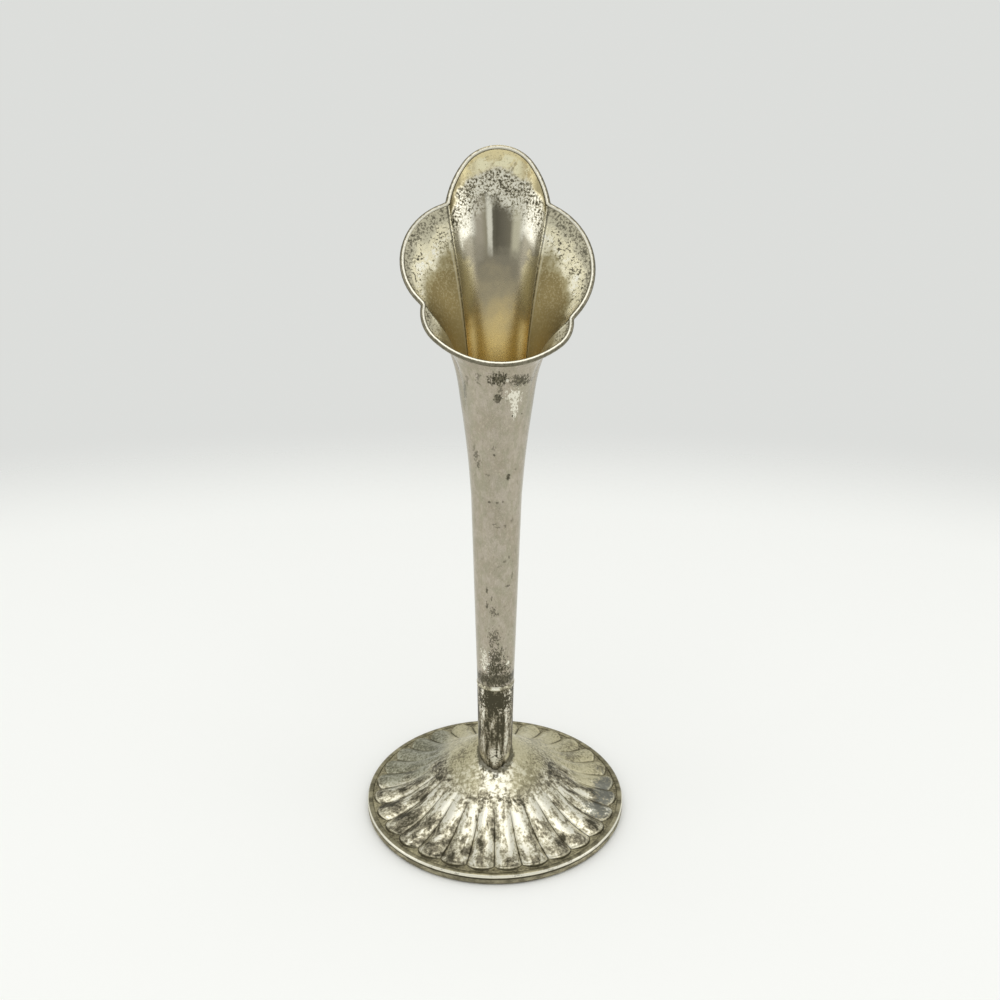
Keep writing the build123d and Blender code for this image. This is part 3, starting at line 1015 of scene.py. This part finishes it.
def inside_finish():
    """Inside of the bell: gold in the throat, grey above it with painted reflections as streaks down the
    middle of the back lobe, painted highlights beside them and on the side lobes, painted shade and
    highlight along the lower creases, speckled near the mouth.
    """
    plate = Finish("bell_inside")
    lobe, way = plate.chart("lobes")
    speck = plate.noise(0.62 * mm, 6, 0.66, 0.3)
    cloud = plate.uneven(7 * mm, 3, 0.5)
    patch = plate.uneven(2.6 * mm, 4, 0.6)
    grain = plate.noise(0.4 * mm, 3, 0.6)
    from_arch = plate.math("ABSOLUTE", plate.plus(lobe, -4.5))
    back = plate.step(from_arch, 1.48, 1.44)
    lip = plate.step(from_arch, 2.52, 2.56)

    uneven_way = plate.plus(way, *plate.weighted((cloud, 0.1), (patch, 0.06)))
    ragged_way = plate.plus(uneven_way, plate.times(plate.plus(speck, -0.5), 0.14))
    back_colour = plate.tones(
        uneven_way, (0.46, (0.82, 0.63, 0.27, 1)), (0.54, (0.84, 0.63, 0.26, 1)),
        (0.6, (0.69, 0.54, 0.26, 1)), (0.67, (0.42, 0.36, 0.235, 1)), (0.74, (0.28, 0.25, 0.185, 1)),
        (0.84, (0.36, 0.335, 0.26, 1)), (0.94, (0.55, 0.51, 0.38, 1)), (0.965, (0.84, 0.73, 0.42, 1)),
    )
    side_colour = plate.tones(
        ragged_way, (0.55, (0.48, 0.39, 0.19, 1)), (0.7, (0.36, 0.285, 0.13, 1)),
        (0.82, (0.27, 0.215, 0.1, 1)), (0.87, (0.46, 0.41, 0.25, 1)), (0.93, cream_silver),
    )
    lip_colour = plate.tones(uneven_way, (0.6, (0.42, 0.34, 0.16, 1)), (0.9, (0.34, 0.3, 0.19, 1)))
    plate.colour = plate.over(side_colour, back_colour, back)
    plate.lay(lip_colour, lip)

    # Painted highlight: speckled bright patches on the back lobe on both sides of its middle.
    beside = plate.times(
        back, plate.band(from_arch, 0.34, 1.1, 0.12), plate.band(uneven_way, 0.825, 0.935, 0.022)
    )
    plate.lay(white_silver, beside, plate.step(speck, 0.36, 0.46, 0.25, 1.0))
    # Painted reflection: dark and bright streaks down the middle of the back lobe.
    middle = plate.times(
        back, plate.step(from_arch, 0.5, 0.36), plate.band(uneven_way, 0.77, 0.915, 0.035)
    )
    streaks = plate.tones(
        plate.plus(lobe, -4.0, plate.times(patch, 0.05)),
        (0.2, cream_silver), (0.28, dark_taupe), (0.4, (0.15, 0.135, 0.1, 1)),
        (0.52, (0.1, 0.09, 0.065, 1)), (0.585, (0.13, 0.12, 0.085, 1)), (0.615, white_silver),
        (0.67, white_silver), (0.71, grey_taupe), (0.8, beige_silver),
    )
    plate.lay(streaks, middle, 0.9)
    corner = plate.times(back, plate.step(from_arch, 0.45, 1.0), plate.step(uneven_way, 0.66, 0.58))
    plate.lay(corner_gold, corner, 0.85)
    inner_end = plate.most(0.55, plate.plus(plate.times(uneven_way, 9.5), -6.64))
    past_end = plate.math("SUBTRACT", from_arch, inner_end)
    shoulder = plate.times(back, plate.step(past_end, -0.1, 0.2), plate.step(way, 0.62, 0.72))
    plate.lay(shoulder_gold, shoulder, 0.8)

    near_mouth = plate.band(uneven_way, 0.875, 0.955, 0.025)
    speckled = plate.times(near_mouth, plate.step(lip, 1.0, 0.0, 0.3, 1.0))
    worn_lobes = plate.step(back, 0.0, 1.0, 0.08, 0.02)
    tone_level = plate.plus(
        plate.times(speck, 1.5), -0.25, *plate.weighted((patch, 0.5), (cloud, 0.25)), worn_lobes
    )
    speckle = plate.tones(tone_level, *zip((0.35, 0.42, 0.465, 0.51, 0.57), worn_metal))
    plate.lay(speckle, speckled)
    beside_arch = plate.step(back, 1.0, 0.0)
    plate.lay(gilt_silver, speckled, beside_arch, plate.step(tone_level, 0.46, 0.53), 0.8)
    # Painted highlight: small glints on the side lobes.
    glint = plate.times(
        beside_arch, plate.step(lip, 1.0, 0.0), plate.band(uneven_way, 0.885, 0.925, 0.015),
        plate.step(patch, 0.0, 0.08), plate.step(speck, 0.44, 0.5),
    )
    plate.lay(glint_silver, glint)
    edge = plate.times(plate.step(uneven_way, 0.935, 0.965), beside_arch)
    edge_colour = plate.tones(tone_level, *zip((0.42, 0.5, 0.56, 0.63), worn_metal))
    plate.lay(edge_colour, edge, 0.85)
    top = plate.times(back, plate.step(uneven_way, 0.955, 0.97))
    pale = plate.times(
        top, plate.step(from_arch, 0.62, 0.42), plate.step(way, 0.986, 0.976), plate.step(patch, -0.07, 0.0)
    )
    plate.lay(pale_gold, pale, 0.85)
    plate.lay(olive_wash, top, plate.step(speck, 0.44, 0.37), 0.55)
    rusty = plate.times(top, plate.band(from_arch, 0.35, 0.62, 0.1), plate.step(patch, -0.05, 0.05))
    plate.lay(rusty_gold, rusty, 0.7)
    plate.lay(dark_olive, top, plate.step(from_arch, 0.5, 0.85), 0.85)

    # Painted shade and highlight along the lower creases at the notches: a dark line with bright edges.
    from_crease = plate.math("PINGPONG", lobe, 0.5)
    at_notch = plate.most(plate.band(from_arch, 1.3, 1.7, 0.05), plate.band(from_arch, 2.3, 2.7, 0.05))
    lower = plate.step(way, 0.25, 0.5)
    crease_highlight = plate.band(from_crease, 0.02, 0.036, 0.008)
    plate.lay(cream_silver, crease_highlight, at_notch, lower, 0.5)
    plate.lay(brown_tarnish_and_shade, plate.step(from_crease, 0.018, 0.006), at_notch, lower, 0.8)
    low_side = plate.times(beside_arch, plate.step(uneven_way, 0.88, 0.8))
    plate.lay(dull_gold, low_side, plate.step(speck, 0.48, 0.62), 0.45)
    rough = plate.plus(
        plate.step(grain, 0.3, 0.7, 0.24, 0.32), plate.times(low_side, 0.25),
        plate.times(speckled, plate.step(speck, 0.55, 0.45, 0.0, 0.15)),
    )
    relief = plate.plus(plate.times(speck, speckled), plate.times(grain, 0.25))
    return plate.done(rough, relief, 0.05 * mm)


def wire_finish():
    """Grey wire with a painted highlight line along its inner front and painted shade beside it."""
    plate = Finish("wire_plate")
    _, turn = plate.chart("wire")
    mottle = plate.noise(1.0 * mm, 6, 0.62)
    plate.colour = plate.tones(mottle, (0.38, dark_taupe), (0.5, grey_taupe), (0.64, beige_silver))
    uneven_turn = plate.plus(turn, plate.times(plate.plus(mottle, -0.5), 0.05))
    # Painted shade on one side of the wire and a painted highlight line along its inner front.
    plate.lay(wire_shade, plate.band(uneven_turn, 0.02, 0.2, 0.04), 0.7)
    plate.lay(white_silver, plate.band(uneven_turn, 0.25, 0.355, 0.022), 0.9)
    plate.lay(brown_tarnish_and_shade, plate.band(turn, 0.41, 0.6, 0.03))
    return plate.done(plate.step(mottle, 0.4, 0.6, 0.4, 0.28), mottle, 0.03 * mm)


def bare_finish():
    """Bare dull metal with brown stains, for what is hidden under the foot."""
    plate = Finish("bare_metal")
    stain = plate.noise(3 * mm, 8, 0.66)
    grain = plate.noise(0.5 * mm, 3, 0.6)
    plate.colour = plate.tones(stain, (0.4, dark_taupe), (0.5, olive_wash), (0.6, tan_wash))
    return plate.done(plate.step(stain, 0.4, 0.6, 0.55, 0.42), plate.plus(stain, grain), 0.06 * mm)


# Room

floor_white = (0.95, 0.95, 0.935, 1)
room_grey = (0.72, 0.73, 0.71, 1)
floor_radius = 1.6
# The floor fades out between two sizes of an ellipse
fade_shape = (0.62, 1, 0)
fade_start = 0.25
fade_end = 0.43
# Lamps: name, place, target, width, power
lamps = (
    ("overhead", (0, -0.12, 1.0), (0, -0.12, 0), 1.0, 3.0),
    ("left", (-0.85, -0.2, 0.32), (0, 0, 0.18), 0.5, 0.75),
    ("right", (0.85, -0.2, 0.32), (0, 0, 0.18), 0.5, 0.75),
)
camera_eye = Vector((1.06, -297.6, 221.2)) * mm
camera_pitch = radians(21.09)
camera_roll = radians(0.34)
sensor_width = 36
focal_length = 38.592


def floor():
    """Pale floor that gives way to the grey of the room."""
    shape = bmesh.new()
    bmesh.ops.create_circle(shape, cap_ends=True, segments=96, radius=floor_radius)
    mesh = meshed("floor", shape)
    ground = placed("floor", mesh)
    paint = Finish("floor_paint", metallic=0.0)
    paint.feed(paint.shader.inputs["Base Color"], floor_white)
    paint.feed(paint.shader.inputs["Roughness"], 0.6)
    paint.feed(paint.shader.inputs["Specular IOR Level"], 0.1)
    clear = paint.add("ShaderNodeBsdfTransparent")
    edge = paint.add("ShaderNodeMixShader")
    paint.feed(edge.inputs["Fac"], paint.step(paint.distance(fade_shape), fade_start, fade_end))
    paint.feed(edge.inputs[1], paint.shader.outputs["BSDF"])
    paint.feed(edge.inputs[2], clear.outputs["BSDF"])
    paint.feed(paint.tree.nodes["Material Output"].inputs["Surface"], edge.outputs["Shader"])
    mesh.materials.append(paint.material)


def lamp(name, place, target, width, power):
    """Soft square lamp that faces a point."""
    light = bpy.data.lights.new(name, "AREA")
    light.size = width
    light.energy = power
    made = placed(name, light)
    made.location = place
    made.rotation_euler = (Vector(target) - Vector(place)).to_track_quat("-Z", "Y").to_euler()


def room():
    world = bpy.data.worlds.new("room")
    bpy.context.scene.world = world
    world.use_nodes = True
    backdrop = world.node_tree.nodes["Background"]
    backdrop.inputs["Color"].default_value = room_grey
    backdrop.inputs["Strength"].default_value = 1.0
    for settings in lamps:
        lamp(*settings)


def camera():
    """Camera at the photograph's place: a little above the mouth, looking down at the vase."""
    forward = Vector((0, cos(camera_pitch), -sin(camera_pitch)))
    upright = Vector((0, sin(camera_pitch), cos(camera_pitch)))
    right = Vector((cos(camera_roll), 0, 0)) + upright * sin(camera_roll)
    up = right.cross(forward)
    lens = bpy.data.cameras.new("camera")
    lens.sensor_width = sensor_width
    lens.lens = focal_length
    lens.clip_start = 0.01
    made = placed("camera", lens)
    turn = Matrix((right, up, -forward)).transposed()
    made.matrix_world = Matrix.Translation(camera_eye) @ turn.to_4x4()
    bpy.context.scene.camera = made


stem_plate = stem_finish()
bare_metal = bare_finish()
foot_dome(foot_finish(), bare_metal)
foot_rim(rim_finish())
stem_ferrule(ferrule_finish())
stem_ring(ring_finish())
stem_tube(stem_plate)
trumpet_bell(stem_plate, inside_finish())
mouth_wire_ring(wire_finish())
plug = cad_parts["stem_plug"]
plug.data.materials.clear()
plug.data.materials.append(bare_metal)
floor()
room()
camera()
bpy.context.scene.view_settings.view_transform = "Standard"
